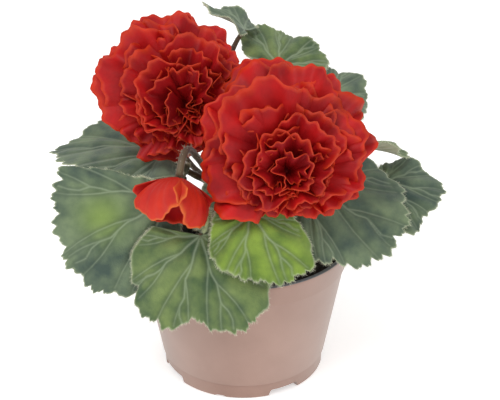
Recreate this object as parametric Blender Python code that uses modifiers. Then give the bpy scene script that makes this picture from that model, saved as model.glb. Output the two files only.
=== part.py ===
"""Potted begonia: a tuberous begonia with double flowers, in a round nursery pot, modelled in metres.

The origin is the centre of the pot's underside, +Z is up and the front of the plant faces -Y.
Every leaf, leaf stalk, outer petal, stem, the soil and the pot is one closed solid of its own.
"""

import math

import bmesh
import bpy
import numpy as np

MM = 0.001

# ---- Pot: a thin moulded plastic shell standing on a centre pad and a broken ring of feet ----
RIM_RADIUS = 60.0
BASE_RADIUS = 46.0
POT_HEIGHT = 78.0
WALL = 1.3
LIP = 2.2
COLLAR = 13.0
LEDGE = 9.0
FOOT_WIDTH = 4.5
RECESS = 2.2
FLOOR = 3.6
PAD_RADIUS = 15.0
POT_STEPS = 64
# Gaps between the feet: middle angle from the front, width (both degrees) and height (mm).
FOOT_GAPS = [(30, 24, 3.8), (90, 24, 3.8), (-61, 28, 3.8), (-16, 8, 1.2)]
DRAIN_RADIUS = 1.9
DRAIN_CIRCLE = 29.0
DRAINS = 8

# ---- Soil ----
SOIL_TOP = 68.5
SOIL_GAP = 0.6
SOCKET_DEPTH = 14.0

# ---- Sheets and seats ----
LEAF_THICKNESS = 0.9
PETAL_THICKNESS = 0.8
SEAT = 0.4
STALK_SEAT = 0.65
LEAF_RAYS = 18
LEAF_RINGS = (0.0, 0.22, 0.5, 0.78, 1.0)

# Stems: points (mm) from the root end to the top, and the radius at each end.
STEMS = {
    "stem_left": (((-6, 4, 55), (-9, 3, 84), (-13, 2, 104), (-16, 3, 122)), 5.0, 3.6),
    "stem_right": (((16, 12, 55), (18, 13, 84), (21, 14, 108), (24, 16, 128)), 4.4, 3.2),
}

# Leaves (mm and degrees). joint: where the stalk meets the blade. tip: the far end of the main vein.
# faces: the way the upper side looks. reach: length of the blade in directions round the joint, from the
# right of the main vein (minus) to its left (plus). droop and arch: bend along and across the blade.
# fold: rise of the two halves beside the main vein. stem, height: where the stalk leaves its stem.
LEAVES = {
    "leaf_front_left": dict(
        joint=(-38.9, -40, 120), tip=(-84.5, -45, 93.5), faces=(-0.12, -0.93, 0.36),
        reach=((-90, 9), (-62, 20), (-53, 38), (-46, 57), (-26, 59), (0, 60), (28, 59), (44, 51),
               (58, 30), (75, 22), (100, 12)),
        droop=10, arch=12, fold=0.03, wave=1.2, stem="stem_left", height=96),
    "leaf_left": dict(
        joint=(-39, 3, 129.3), tip=(-101.3, 12, 122), faces=(-0.12, -0.14, 0.98),
        reach=((-120, 12), (-80, 22), (-45, 38), (-20, 50), (0, 65), (20, 56), (45, 46), (80, 36),
               (120, 20)),
        droop=12, arch=6, fold=0.04, wave=2.0, stem="stem_left", height=110),
    "leaf_left_inner": dict(
        joint=(-31, -13, 119), tip=(-62, -11, 114.5), faces=(-0.10, -0.30, 0.95),
        reach=((-110, 8), (-60, 14), (-25, 22), (0, 33), (25, 26), (60, 16), (110, 9)),
        droop=14, arch=6, fold=0.08, wave=1.0, stem="stem_left", height=101),
    "leaf_front": dict(
        joint=(-21, -55, 106.6), tip=(-21.7, -70.7, 66.0), faces=(-0.05, -0.93, 0.36),
        reach=((-100, 24), (-70, 38), (-40, 49), (-20, 49), (0, 43), (14, 53), (35, 51), (55, 42),
               (80, 30), (105, 18)),
        droop=12, arch=20, fold=-0.04, wave=1.4, stem="stem_left", height=87),
    "leaf_front_small": dict(
        joint=(3.8, -52, 117), tip=(4.7, -70.4, 89.9), faces=(0.10, -0.82, 0.56),
        reach=((-100, 15), (-75, 19), (-48, 27), (-20, 33), (0, 33), (15, 37), (45, 39), (62, 33),
               (95, 16), (125, 9)),
        droop=24, arch=20, fold=0.08, wave=1.5, stem="stem_left", height=97),
    "leaf_front_right": dict(
        joint=(29.7, -24, 121.4), tip=(68.7, -47.5, 83.6), faces=(0.15, -0.75, 0.62),
        reach=((-105, 12), (-80, 20), (-56, 37), (-30, 43), (0, 57), (20, 58), (46, 56), (70, 42),
               (100, 20)),
        droop=18, arch=26, fold=0.04, wave=1.8, stem="stem_right", height=104),
    "leaf_right": dict(
        joint=(78, 12, 104), tip=(112, 12, 97), faces=(0.12, -0.50, 0.86),
        reach=((-120, 12), (-80, 26), (-58, 35), (-30, 30), (0, 34), (25, 28), (60, 22), (110, 10)),
        droop=26, arch=26, fold=0.06, wave=2.0, stem="stem_right", height=96),
    "leaf_right_back": dict(
        joint=(50, 14, 124), tip=(88, 18, 111), faces=(0.10, 0.30, 0.95),
        reach=((-115, 10), (-70, 22), (-30, 32), (0, 41), (30, 34), (70, 26), (115, 10)),
        droop=20, arch=-14, fold=0.12, wave=2.0, stem="stem_right", height=114),
    "leaf_top_right": dict(
        joint=(44, 28, 147), tip=(72, 43, 147), faces=(0.30, -0.50, 0.81),
        reach=((-120, 10), (-70, 20), (-27, 25), (0, 29), (20, 32), (40, 28), (64, 26), (110, 24)),
        droop=24, arch=20, fold=0.06, wave=1.6, stem="stem_right", height=121),
    "leaf_top": dict(
        joint=(19.3, 40, 162.4), tip=(42.1, 54.7, 168.6), faces=(0.05, -0.45, 0.89),
        reach=((-115, 10), (-70, 18), (-35, 26), (-15, 30), (0, 29), (21, 27), (60, 29), (85, 38),
               (110, 24), (135, 10)),
        droop=20, arch=16, fold=0.06, wave=1.6, stem="stem_right", height=118),
    "leaf_top_left": dict(
        joint=(1, 55, 179), tip=(-21, 64, 192), faces=(0.46, 0.04, 0.88),
        reach=((-115, 9), (-60, 17), (-25, 25), (0, 28), (25, 24), (60, 17), (115, 8)),
        droop=26, arch=-18, fold=0.10, wave=1.8, stem="stem_left", height=114),
    "leaf_under_flower": dict(
        joint=(-1, -20, 120.5), tip=(-18, -35, 113.5), faces=(-0.10, -0.50, 0.86),
        reach=((-115, 9), (-60, 17), (-20, 23), (0, 25), (30, 26), (60, 22), (110, 12)),
        droop=16, arch=10, fold=0.10, wave=1.0, stem="stem_left", height=114),
    "leaf_back_left": dict(
        joint=(-36, 38, 118), tip=(-70, 68, 98), faces=(-0.35, 0.45, 0.82),
        reach=((-130, 16), (-90, 30), (-50, 38), (0, 47), (50, 38), (90, 32), (130, 18)),
        droop=24, arch=20, fold=0.06, wave=2.0, stem="stem_left", height=102),
    "leaf_back_right": dict(
        joint=(22, 52, 118), tip=(34, 92, 97), faces=(0.15, 0.55, 0.82),
        reach=((-130, 18), (-90, 32), (-50, 42), (0, 48), (50, 40), (90, 30), (130, 16)),
        droop=24, arch=22, fold=0.06, wave=2.0, stem="stem_right", height=100),
}
STALK_RADIUS = (2.0, 1.3)

# Flowers (mm and degrees): the middle of the heart, the way the flower looks, reach of the outer whorl,
# turn of the whorls, and where the flower stalk leaves its stem.
FLOWERS = {
    "flower_right": dict(
        centre=(25, -36, 150.5), faces=(0.04, -0.90, 0.44), reach=(38, 42, 38, 38), turn=40,
        heart=27, depth=16, stem="stem_right", height=126),
    "flower_left": dict(
        centre=(-36, -1, 167.5), faces=(-0.12, -0.86, 0.50), reach=(37, 37, 34, 36), turn=52,
        heart=25, depth=15, stem="stem_left", height=121),
}
WHORL_GAP = 1.9
WHORL_HALF_ANGLE = 42.0
CLAW_RADIUS = 3.0
REFLEX = 9.0
RUFFLE = 1.5
FLOWER_STALK_RADIUS = (1.9, 2.6)

# The half-open flower that nods between the leaves.
NODDING = dict(centre=(-31, -54, 138), faces=(-0.15, -0.50, -0.85), cup=11.0, ball=9.0,
               reach=(19, 18, 18), turn=20, stem="stem_left", height=117)

# The rolled young leaf and the green bud.
YOUNG_LEAF = dict(base=(-12.5, -42.0, 104.5), top=(-13.5, -51.0, 121.0), radius=4.2,
                  stem="stem_left", height=107)


def unit(v):
    """The vector v at length one."""
    v = np.asarray(v, float)
    return v / np.linalg.norm(v)


def frame_of(faces, along):
    """Axes (rows) with the third looking along faces and the first as near to along as possible."""
    z = unit(faces)
    x = unit(np.asarray(along, float) - z * np.dot(along, z))
    return np.array([x, np.cross(z, x), z])


def bend(across, height, degrees, length):
    """Bend a flat strip (one coordinate and its height) down over an arc; degrees is the bend per length."""
    if abs(degrees) < 0.01:
        return across, height
    k = math.radians(degrees) / length
    a = across * k
    return np.sin(a) / k + height * np.sin(a), height * np.cos(a) - (1 - np.cos(a)) / k


def add_object(name, mesh, colour, roughness, collection):
    """Wrap a mesh in an object with its own material."""
    obj = bpy.data.objects.new(name, mesh)
    collection.objects.link(obj)
    mat = bpy.data.materials.new(name)
    mat.use_nodes = True
    shader = mat.node_tree.nodes["Principled BSDF"]
    shader.inputs["Base Color"].default_value = (*colour, 1.0)
    shader.inputs["Roughness"].default_value = roughness
    obj.data.materials.append(mat)
    return obj


def mapped_grid(name, columns, rows, place):
    """A square grid whose points are moved to place(u, v) in mm, with u and v from 0 to 1."""
    bm = bmesh.new()
    bmesh.ops.create_grid(bm, x_segments=columns, y_segments=rows, size=0.5)
    for vert in bm.verts:
        u = min(max(vert.co.x + 0.5, 0.0), 1.0)
        v = min(max(vert.co.y + 0.5, 0.0), 1.0)
        vert.co = [c * MM for c in place(u, v)]
    bmesh.ops.remove_doubles(bm, verts=bm.verts, dist=0.00002)
    mesh = bpy.data.meshes.new(name)
    bm.to_mesh(mesh)
    bm.free()
    return mesh


def thicken(obj, thickness):
    """Turn a sheet into a closed solid, half the thickness to each side."""
    mod = obj.modifiers.new("thickness", "SOLIDIFY")
    mod.thickness = thickness * MM
    mod.offset = 0.0


def leaf_points(spec, angle, part):
    """Local points (mm) of a blade at a polar angle (degrees) and a part (0 to 1) of the reach."""
    angles = [p[0] for p in spec["reach"]]
    reach = np.interp(angle, angles, [p[1] for p in spec["reach"]]) * part
    x = reach * np.cos(np.radians(angle))
    y = reach * np.sin(np.radians(angle))
    z = spec["fold"] * (np.sqrt(y * y + 9.0) - 3.0)
    z = z + spec["wave"] * part ** 3 * np.sin(np.radians(angle) * 6.0 + spec["joint"][0])
    length = np.interp(0.0, angles, [p[1] for p in spec["reach"]])
    y, z = bend(y, z, spec["arch"], length)
    x, z = bend(x, z, spec["droop"], length)
    return np.array([x, y, z])


def leaf_frame(spec):
    """Axes of a blade, turned so that the end of the bent main vein points at the tip."""
    axes = frame_of(spec["faces"], np.subtract(spec["tip"], spec["joint"]))
    end = leaf_points(spec, 0.0, 1.0)
    a = math.atan2(end[2], end[0])
    x = axes[0] * math.cos(a) - axes[2] * math.sin(a)
    z = axes[0] * math.sin(a) + axes[2] * math.cos(a)
    return np.array([x, axes[1], z])


def add_leaf(name, spec, collection):
    """One blade as a bent fan round its joint."""
    axes = leaf_frame(spec)
    low = spec["reach"][0][0]
    high = spec["reach"][-1][0]
    joint = np.array(spec["joint"], float)

    def place(u, v):
        part = np.interp(v * (len(LEAF_RINGS) - 1), range(len(LEAF_RINGS)), LEAF_RINGS)
        return joint + leaf_points(spec, low + (high - low) * u, part) @ axes

    mesh = mapped_grid(name, LEAF_RAYS, len(LEAF_RINGS) - 1, place)
    obj = add_object(name, mesh, (0.09, 0.16, 0.06), 0.6, collection)
    thicken(obj, LEAF_THICKNESS)
    return obj


def add_tube(name, points, radii, colour, collection):
    """A capped tube through points (mm) whose radius runs from the first to the second value."""
    curve = bpy.data.curves.new(name, "CURVE")
    curve.dimensions = "3D"
    curve.bevel_depth = MM
    curve.bevel_resolution = 2
    curve.use_fill_caps = True
    spline = curve.splines.new("POLY")
    spline.points.add(len(points) - 1)
    for i, point in enumerate(points):
        t = i / (len(points) - 1)
        spline.points[i].co = (*(c * MM for c in point), 1.0)
        spline.points[i].radius = radii[0] + (radii[1] - radii[0]) * t
    return add_object(name, curve, colour, 0.6, collection)


def on_stem(stem, height):
    """Middle and radius of a stem at a height."""
    points, first, last = STEMS[stem]
    z = [p[2] for p in points]
    middle = np.array([np.interp(height, z, [p[i] for p in points]) for i in range(3)])
    radius = first + (last - first) * np.interp(height, z, np.linspace(0, 1, len(z)))
    return middle, radius


def stalk_path(stem, height, end, normal, clearance, sag=0.35):
    """Points from the side of a stem, rising smoothly, to just behind the end point."""
    middle, radius = on_stem(stem, height)
    normal = unit(normal)
    out = np.array([end[0] - middle[0], end[1] - middle[1], 0.0])
    out = unit(out)
    start = middle + out * (radius + STALK_SEAT)
    stop = np.asarray(end, float) - normal * clearance
    first = start + out * 2.0
    last = stop - normal * 2.0
    span = np.linalg.norm(last - first) * sag
    a = first + unit(out + np.array([0, 0, 0.5])) * span
    b = last - normal * span
    path = [start]
    for t in np.linspace(0, 1, 6):
        s = 1 - t
        path.append(s ** 3 * first + 3 * s * s * t * a + 3 * s * t * t * b + t ** 3 * last)
    path.append(stop)
    return path


def dish(radius, angle, reach=40.0):
    """Height (mm) of the shared surface that the petals of one flower follow."""
    t = radius / reach
    return -REFLEX * t * t + RUFFLE * t * t * np.sin(np.radians(angle) * 9.0)


def add_petal(name, spec, axes, middle, reach, offset, collection):
    """One outer petal: a sector of the dish, rounded at its far edge."""
    origin = np.array(spec["centre"], float)

    def place(u, v):
        side = 2.0 * u - 1.0
        angle = middle + WHORL_HALF_ANGLE * side
        far = reach * (1.0 - 0.28 * side ** 4)
        radius = CLAW_RADIUS + (far - CLAW_RADIUS) * v
        z = dish(radius, angle) + offset
        local = np.array([radius * math.cos(math.radians(angle)), radius * math.sin(math.radians(angle)), z])
        return origin + local @ axes

    mesh = mapped_grid(name, 8, 5, place)
    obj = add_object(name, mesh, (0.62, 0.05, 0.02), 0.5, collection)
    thicken(obj, PETAL_THICKNESS)
    return obj


def add_heart(name, origin, axes, radius, profile, collection, columns=28):
    """A closed round body whose rings follow a profile of (radius part, height) pairs."""
    bm = bmesh.new()
    bmesh.ops.create_uvsphere(bm, u_segments=columns, v_segments=len(profile) - 1, radius=1.0)
    rings = len(profile) - 1
    for vert in bm.verts:
        polar = math.acos(max(-1.0, min(1.0, vert.co.z)))
        part, height = profile[round(polar / math.pi * rings)]
        angle = math.degrees(math.atan2(vert.co.y, vert.co.x))
        r = radius * part
        z = height(r, angle)
        local = np.array([r * math.cos(math.radians(angle)), r * math.sin(math.radians(angle)), z])
        vert.co = [c * MM for c in np.asarray(origin, float) + local @ axes]
    mesh = bpy.data.meshes.new(name)
    bm.to_mesh(mesh)
    bm.free()
    return add_object(name, mesh, (0.70, 0.08, 0.02), 0.5, collection)


def add_flower(name, spec, collection):
    """A double flower: a ruffled heart in front of two whorls of four outer petals."""
    axes = frame_of(spec["faces"], (1, 0, 0))
    back = -(PETAL_THICKNESS + SEAT)
    for whorl in range(2):
        for i in range(4):
            middle = spec["turn"] + 45 * whorl + 90 * i
            reach = spec["reach"][i] - 3.0 * (1 - whorl)
            reach = reach + 3.0 * (1 - whorl) * 1.6
            offset = back - WHORL_GAP * (1 - whorl)
            add_petal(f"{name}_petal_{whorl * 4 + i + 1}", spec, axes, middle, reach, offset, collection)

    def top(share):
        def height(r, angle):
            crest = spec["depth"] * share
            ruffle = 1.3 * share * math.sin(math.radians(angle) * 7.0 + r * 0.4)
            return dish(r, angle) + crest + ruffle
        return height

    def under(r, angle):
        return dish(r, angle)

    profile = [(0.0, top(1.0))]
    for part in (0.22, 0.42, 0.6, 0.75, 0.87, 0.95):
        profile.append((part, top(math.sqrt(1 - part * part))))
    profile.append((1.0, under))
    for part in (0.75, 0.45, 0.2, 0.0):
        profile.append((part, under))
    add_heart(f"{name}_heart", spec["centre"], axes, spec["heart"], profile, collection)

    low = back - WHORL_GAP - PETAL_THICKNESS / 2 - SEAT
    end = np.array(spec["centre"], float) + axes[2] * low
    path = stalk_path(spec["stem"], spec["height"], end, axes[2], 0.0, 0.3)
    add_tube(f"{name}_stalk", path, FLOWER_STALK_RADIUS, (0.30, 0.20, 0.10), collection)


def add_nodding_flower(name, spec, collection):
    """A half-open flower: a ball of furled petals in a cup of three."""
    axes = frame_of(spec["faces"], (1, 0, 0))
    cup = spec["cup"]
    ball = spec["ball"]
    seat = PETAL_THICKNESS / 2 + SEAT
    centre = np.array(spec["centre"], float)

    def round_top(r, angle):
        return seat + ball + math.sqrt(max(ball * ball - r * r, 0.0)) * 1.2

    def round_low(r, angle):
        return seat + ball - math.sqrt(max(ball * ball - r * r, 0.0))

    steps = 10
    profile = []
    for i in range(steps + 1):
        polar = math.pi * i / steps
        profile.append((math.sin(polar), round_top if i <= steps // 2 else round_low))
    profile[0] = (0.0, round_top)
    profile[-1] = (0.0, round_low)
    add_heart(f"{name}_heart", centre, axes, ball, profile, collection, 18)

    for i, reach in enumerate(spec["reach"]):
        middle = spec["turn"] + 120 * i

        def place(u, v, middle=middle, reach=reach):
            side = 2.0 * u - 1.0
            angle = math.radians(middle + 55.0 * side)
            far = reach * (1.0 - 0.30 * side ** 4)
            r = 2.2 + (far - 2.2) * v
            return centre + np.array([r * math.cos(angle), r * math.sin(angle), r * r / (2 * cup)]) @ axes

        mesh = mapped_grid(f"{name}_petal_{i + 1}", 8, 5, place)
        obj = add_object(f"{name}_petal_{i + 1}", mesh, (0.66, 0.07, 0.02), 0.5, collection)
        thicken(obj, PETAL_THICKNESS)

    end = centre - axes[2] * seat
    path = stalk_path(spec["stem"], spec["height"], end, axes[2], 0.0, 0.45)
    add_tube(f"{name}_stalk", path, (1.5, 1.9), (0.30, 0.20, 0.10), collection)


def add_pot(collection, cutters):
    """The pot: a turned shell with foot gaps and drain holes cut from its base."""
    slope = (RIM_RADIUS - 1.2 - BASE_RADIUS) / (POT_HEIGHT - LEDGE)

    def outer(z):
        return BASE_RADIUS + 0.6 + slope * max(z - LEDGE, 0.0)

    profile = [
        (0.0, FLOOR),
        (BASE_RADIUS - WALL - 1.0, FLOOR),
        (BASE_RADIUS - WALL, FLOOR + 1.0),
        (outer(LEDGE) - WALL, LEDGE + 1.0),
        (outer(POT_HEIGHT) - WALL - 0.2, POT_HEIGHT - 2.2),
        (RIM_RADIUS - LIP, POT_HEIGHT - 0.9),
        (RIM_RADIUS - LIP, POT_HEIGHT - 0.2),
        (RIM_RADIUS - LIP + 0.2, POT_HEIGHT),
        (RIM_RADIUS - 0.3, POT_HEIGHT),
        (RIM_RADIUS, POT_HEIGHT - 0.3),
        (RIM_RADIUS, POT_HEIGHT - 1.4),
        (outer(POT_HEIGHT - 1.9) + 0.1, POT_HEIGHT - 1.9),
        (outer(POT_HEIGHT - COLLAR) + 0.35, POT_HEIGHT - COLLAR),
        (outer(POT_HEIGHT - COLLAR - 0.6), POT_HEIGHT - COLLAR - 0.6),
        (outer(LEDGE), LEDGE),
        (BASE_RADIUS, LEDGE - 0.7),
        (BASE_RADIUS - 0.3, 0.6),
        (BASE_RADIUS - 0.9, 0.0),
        (BASE_RADIUS - FOOT_WIDTH, 0.0),
        (BASE_RADIUS - FOOT_WIDTH - 0.6, RECESS),
        (PAD_RADIUS + 0.8, RECESS),
        (PAD_RADIUS, 0.0),
        (0.0, 0.0),
    ]
    bm = bmesh.new()
    verts = [bm.verts.new((r * MM, 0.0, z * MM)) for r, z in profile]
    for a, b in zip(verts, verts[1:]):
        bm.edges.new((a, b))
    mesh = bpy.data.meshes.new("pot")
    bm.to_mesh(mesh)
    bm.free()
    pot = add_object("pot", mesh, (0.33, 0.20, 0.16), 0.55, collection)
    turn = pot.modifiers.new("turn", "SCREW")
    turn.steps = POT_STEPS
    turn.render_steps = POT_STEPS
    turn.use_merge_vertices = True
    turn.merge_threshold = 0.00002

    for side in (0, 180):
        for middle, width, height in FOOT_GAPS:
            bm = bmesh.new()
            bmesh.ops.create_cube(bm, size=1.0)
            for vert in bm.verts:
                r = BASE_RADIUS + 4.0 if vert.co.x > 0 else BASE_RADIUS - FOOT_WIDTH - 1.2
                half = width / 2 - (2.0 if vert.co.z > 0 and height > 2 else 0.0)
                angle = math.radians(middle + side - 90 + (half if vert.co.y > 0 else -half))
                z = height if vert.co.z > 0 else -2.0
                vert.co = (r * math.cos(angle) * MM, r * math.sin(angle) * MM, z * MM)
            cut(pot, bm, f"foot_gap_{middle + side}", cutters)
    for i in range(DRAINS):
        angle = math.radians(360 / DRAINS * (i + 0.5))
        bm = bmesh.new()
        bmesh.ops.create_cone(bm, cap_ends=True, segments=16, radius1=DRAIN_RADIUS * MM,
                              radius2=DRAIN_RADIUS * MM, depth=10 * MM)
        shift = (DRAIN_CIRCLE * math.cos(angle) * MM, DRAIN_CIRCLE * math.sin(angle) * MM, 3 * MM)
        bmesh.ops.translate(bm, verts=bm.verts, vec=shift)
        cut(pot, bm, f"drain_{i + 1}", cutters)
    return pot


def cut(obj, bm, name, cutters):
    """Subtract a bmesh body from an object and keep the cutter apart."""
    mesh = bpy.data.meshes.new(name)
    bm.to_mesh(mesh)
    bm.free()
    cutter = bpy.data.objects.new(name, mesh)
    cutter.hide_render = True
    cutter.display_type = "WIRE"
    cutters.objects.link(cutter)
    mod = obj.modifiers.new(name, "BOOLEAN")
    mod.operation = "DIFFERENCE"
    mod.solver = "EXACT"
    mod.object = cutter


def add_soil(collection, cutters):
    """The root ball and soil: it fills the pot and has a hollow for each stem."""
    slope = (RIM_RADIUS - 1.2 - BASE_RADIUS) / (POT_HEIGHT - LEDGE)
    base = BASE_RADIUS + 0.6 - WALL - SOIL_GAP
    wall_low = BASE_RADIUS - WALL - SOIL_GAP - 1.4
    edge = base + slope * (SOIL_TOP - LEDGE) - 0.5

    def fixed(z):
        return lambda r, angle: z

    def top(lift):
        def height(r, angle):
            a = math.radians(angle)
            return SOIL_TOP + lift + 0.5 * math.sin(3 * a + r * 0.3) + 0.4 * math.sin(7 * a - r * 0.21)
        return height

    profile = [(0.0, fixed(SOIL_TOP + 1.6))]
    for part, lift in ((0.25, 1.4), (0.5, 0.9), (0.72, 0.2), (0.88, -0.6), (0.97, -1.2)):
        profile.append((part, top(lift)))
    profile.append((1.0, fixed(SOIL_TOP - 2.6)))
    profile.append(((base + slope * 26) / edge, fixed(LEDGE + 25.0)))
    profile.append(((base - 0.3) / edge, fixed(LEDGE + 1.6)))
    profile.append((wall_low / edge, fixed(FLOOR + SOIL_GAP)))
    profile.append((0.5, fixed(FLOOR + SOIL_GAP)))
    profile.append((0.0, fixed(FLOOR + SOIL_GAP)))
    soil = add_heart("soil", (0, 0, 0), np.eye(3), edge, profile, collection, 40)
    soil.data.materials[0].node_tree.nodes["Principled BSDF"].inputs["Base Color"].default_value = (
        0.02, 0.016, 0.014, 1.0)
    for stem, (points, first, last) in STEMS.items():
        bm = bmesh.new()
        low = points[0][2] - SEAT - 0.2
        bmesh.ops.create_cone(bm, cap_ends=True, segments=20, radius1=(first + 1.8) * MM,
                              radius2=(first + 1.8) * MM, depth=30 * MM)
        x = points[0][0] + (points[1][0] - points[0][0]) * 0.25
        y = points[0][1] + (points[1][1] - points[0][1]) * 0.25
        bmesh.ops.translate(bm, verts=bm.verts, vec=(x * MM, y * MM, (low + 15) * MM))
        cut(soil, bm, f"socket_{stem}", cutters)
    return soil


def add_young_leaf(collection):
    """A rolled young leaf standing out from the crown, drawn as a pointed spindle."""
    base = np.array(YOUNG_LEAF["base"], float)
    top = np.array(YOUNG_LEAF["top"], float)
    length = np.linalg.norm(top - base)
    axes = frame_of(top - base, (1, 0, 0))

    def along(z):
        return lambda r, angle: z

    profile = []
    for part, radius in ((1.0, 0.0), (0.93, 0.45), (0.75, 0.85), (0.5, 1.0), (0.28, 0.8), (0.1, 0.45),
                         (0.0, 0.0)):
        profile.append((radius, along(part * length)))
    leaf = add_heart("young_leaf", base, axes, YOUNG_LEAF["radius"], profile, collection, 14)
    leaf.data.materials[0].node_tree.nodes["Principled BSDF"].inputs["Base Color"].default_value = (
        0.10, 0.13, 0.06, 1.0)
    path = stalk_path(YOUNG_LEAF["stem"], YOUNG_LEAF["height"], base, axes[2], SEAT)
    add_tube("stalk_young", path, (1.6, 1.3), (0.25, 0.22, 0.10), collection)


def main():
    for obj in list(bpy.data.objects):
        bpy.data.objects.remove(obj, do_unlink=True)
    parts = bpy.data.collections.new("potted_begonia")
    cutters = bpy.data.collections.new("cutters")
    bpy.context.scene.collection.children.link(parts)
    bpy.context.scene.collection.children.link(cutters)

    add_pot(parts, cutters)
    add_soil(parts, cutters)
    for name, (points, first, last) in STEMS.items():
        add_tube(name, points, (first, last), (0.32, 0.16, 0.10), parts)
    for name, spec in LEAVES.items():
        add_leaf(name, spec, parts)
        axes = leaf_frame(spec)
        path = stalk_path(spec["stem"], spec["height"], spec["joint"], axes[2], LEAF_THICKNESS / 2 + SEAT)
        add_tube(name.replace("leaf", "stalk", 1), path, STALK_RADIUS, (0.30, 0.15, 0.09), parts)
    for name, spec in FLOWERS.items():
        add_flower(name, spec, parts)
    add_nodding_flower("nodding_flower", NODDING, parts)
    add_young_leaf(parts)


main()
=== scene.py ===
# %% [markdown]
# # A potted begonia
# A tuberous begonia is mostly two kinds of sheet: round leaves on stalks, and ruffled petals.
# Both are made here as a fan of points round one corner, bent and waved by formula, then thickened.
# All lengths in the tables are millimetres; the model itself is in metres.

# %% Frame and tools
import math

import bpy
import numpy as np
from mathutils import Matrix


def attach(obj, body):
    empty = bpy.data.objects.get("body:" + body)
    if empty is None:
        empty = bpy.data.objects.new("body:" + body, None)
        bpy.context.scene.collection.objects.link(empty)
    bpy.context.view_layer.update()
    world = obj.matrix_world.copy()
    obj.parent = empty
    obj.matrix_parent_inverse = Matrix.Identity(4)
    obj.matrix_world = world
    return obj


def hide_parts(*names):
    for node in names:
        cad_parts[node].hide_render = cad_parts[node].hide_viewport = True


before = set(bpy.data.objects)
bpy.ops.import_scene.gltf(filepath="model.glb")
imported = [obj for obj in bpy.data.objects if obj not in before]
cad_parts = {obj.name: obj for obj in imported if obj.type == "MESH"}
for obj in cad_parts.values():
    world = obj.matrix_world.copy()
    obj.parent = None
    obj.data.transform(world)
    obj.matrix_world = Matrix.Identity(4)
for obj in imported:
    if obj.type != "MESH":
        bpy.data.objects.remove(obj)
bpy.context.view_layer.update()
MM = 0.001
rng = np.random.default_rng(7)


def unit(v):
    """The vector scaled to length 1."""
    v = np.asarray(v, float)
    return v / np.linalg.norm(v)


def frame_of(faces, along):
    """Rows x, y, z of axes whose z looks along faces and whose x is as near as it can be to along."""
    z = unit(faces)
    x = unit(np.asarray(along, float) - z * np.dot(along, z))
    return np.array([x, np.cross(z, x), z])


def bend(across, height, degrees, length):
    """Bend a flat strip down over an arc of so many degrees per length."""
    if abs(degrees) < 0.01:
        return across, height
    k = math.radians(degrees) / length
    a = across * k
    return np.sin(a) / k + height * np.sin(a), height * np.cos(a) - (1 - np.cos(a)) / k


def linear(c):
    """Linear value of one colour channel given as 0 to 255."""
    return (c / 255) / 12.92 if c <= 10 else ((c / 255 + 0.055) / 1.055) ** 2.4


def srgb(r, g, b):
    """Scene colour for a colour given as 0 to 255 values."""
    return (linear(r), linear(g), linear(b), 1.0)


def make_mesh(name, points, faces, materials, masks=None, node=None, slot=None, face_material=None):
    """A smooth mesh piece from points in mm; masks are values kept on its points for the shader."""
    mesh = bpy.data.meshes.new(name)
    mesh.from_pydata((np.asarray(points) * MM).tolist(), [], faces)
    for mat in materials:
        mesh.materials.append(mat)
    for key, values in (masks or {}).items():
        mask = mesh.attributes.new(key, "FLOAT", "POINT")
        mask.data.foreach_set("value", np.asarray(values, np.float32))
    mesh.polygons.foreach_set("use_smooth", [True] * len(mesh.polygons))
    if face_material is not None:
        mesh.polygons.foreach_set("material_index", np.asarray(face_material, np.int32))
    mesh.update()
    piece = bpy.data.objects.new(name, mesh)
    bpy.context.scene.collection.objects.link(piece)
    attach(piece, "root")
    if node:
        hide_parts(node)
    return piece


def thicken(piece, thickness):
    """Give a sheet its thickness (mm), with the piece's second material on the back."""
    mod = piece.modifiers.new("thickness", "SOLIDIFY")
    mod.thickness = thickness * MM
    mod.offset = 0.0
    mod.material_offset = 1


def fan_faces(rays, rings):
    """Faces of a fan whose point 0 is the corner, then rings of points, each with so many rays."""
    i, j = np.meshgrid(np.arange(rays - 1), np.arange(rings - 1), indexing="ij")
    a = 1 + j * rays + i
    quads = np.stack([a, a + rays, a + rays + 1, a + 1], -1).reshape(-1, 4).tolist()
    return [(0, 1 + k, 2 + k) for k in range(rays - 1)] + quads


def join_fans(sheets, rays, rings):
    """Points and faces of many fans of one size, as a single mesh."""
    size = 1 + rays * rings
    one = fan_faces(rays, rings)
    faces = [tuple(size * k + v for v in face) for k in range(len(sheets)) for face in one]
    return np.concatenate(sheets), faces


def tube_faces(sides, rings):
    """Faces of a closed tube of so many sides and rings of points, with both ends capped."""
    faces = []
    for k in range(rings - 1):
        for j in range(sides):
            m = (j + 1) % sides
            faces.append((k * sides + j, k * sides + m, (k + 1) * sides + m, (k + 1) * sides + j))
    return faces + [tuple(range(sides - 1, -1, -1)), tuple(range((rings - 1) * sides, rings * sides))]


# %% [markdown]
# ## Shader groups
# Patchy colour and fine grain turn up on leaves, petals, plastic and soil alike. One group holds the
# patches, another the tiny bumps, and each material feeds them its own colours and sizes.

# %% Patch and grain groups
def new_group(name, inputs, outputs):
    """An empty node group with its sockets; gives the group and its two end nodes."""
    group = bpy.data.node_groups.new(name, "ShaderNodeTree")
    for label, kind, value in inputs:
        socket = group.interface.new_socket(label, in_out="INPUT", socket_type=kind)
        if value is not None:
            socket.default_value = value
    for label, kind in outputs:
        group.interface.new_socket(label, in_out="OUTPUT", socket_type=kind)
    return group, group.nodes.new("NodeGroupInput"), group.nodes.new("NodeGroupOutput")


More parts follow.
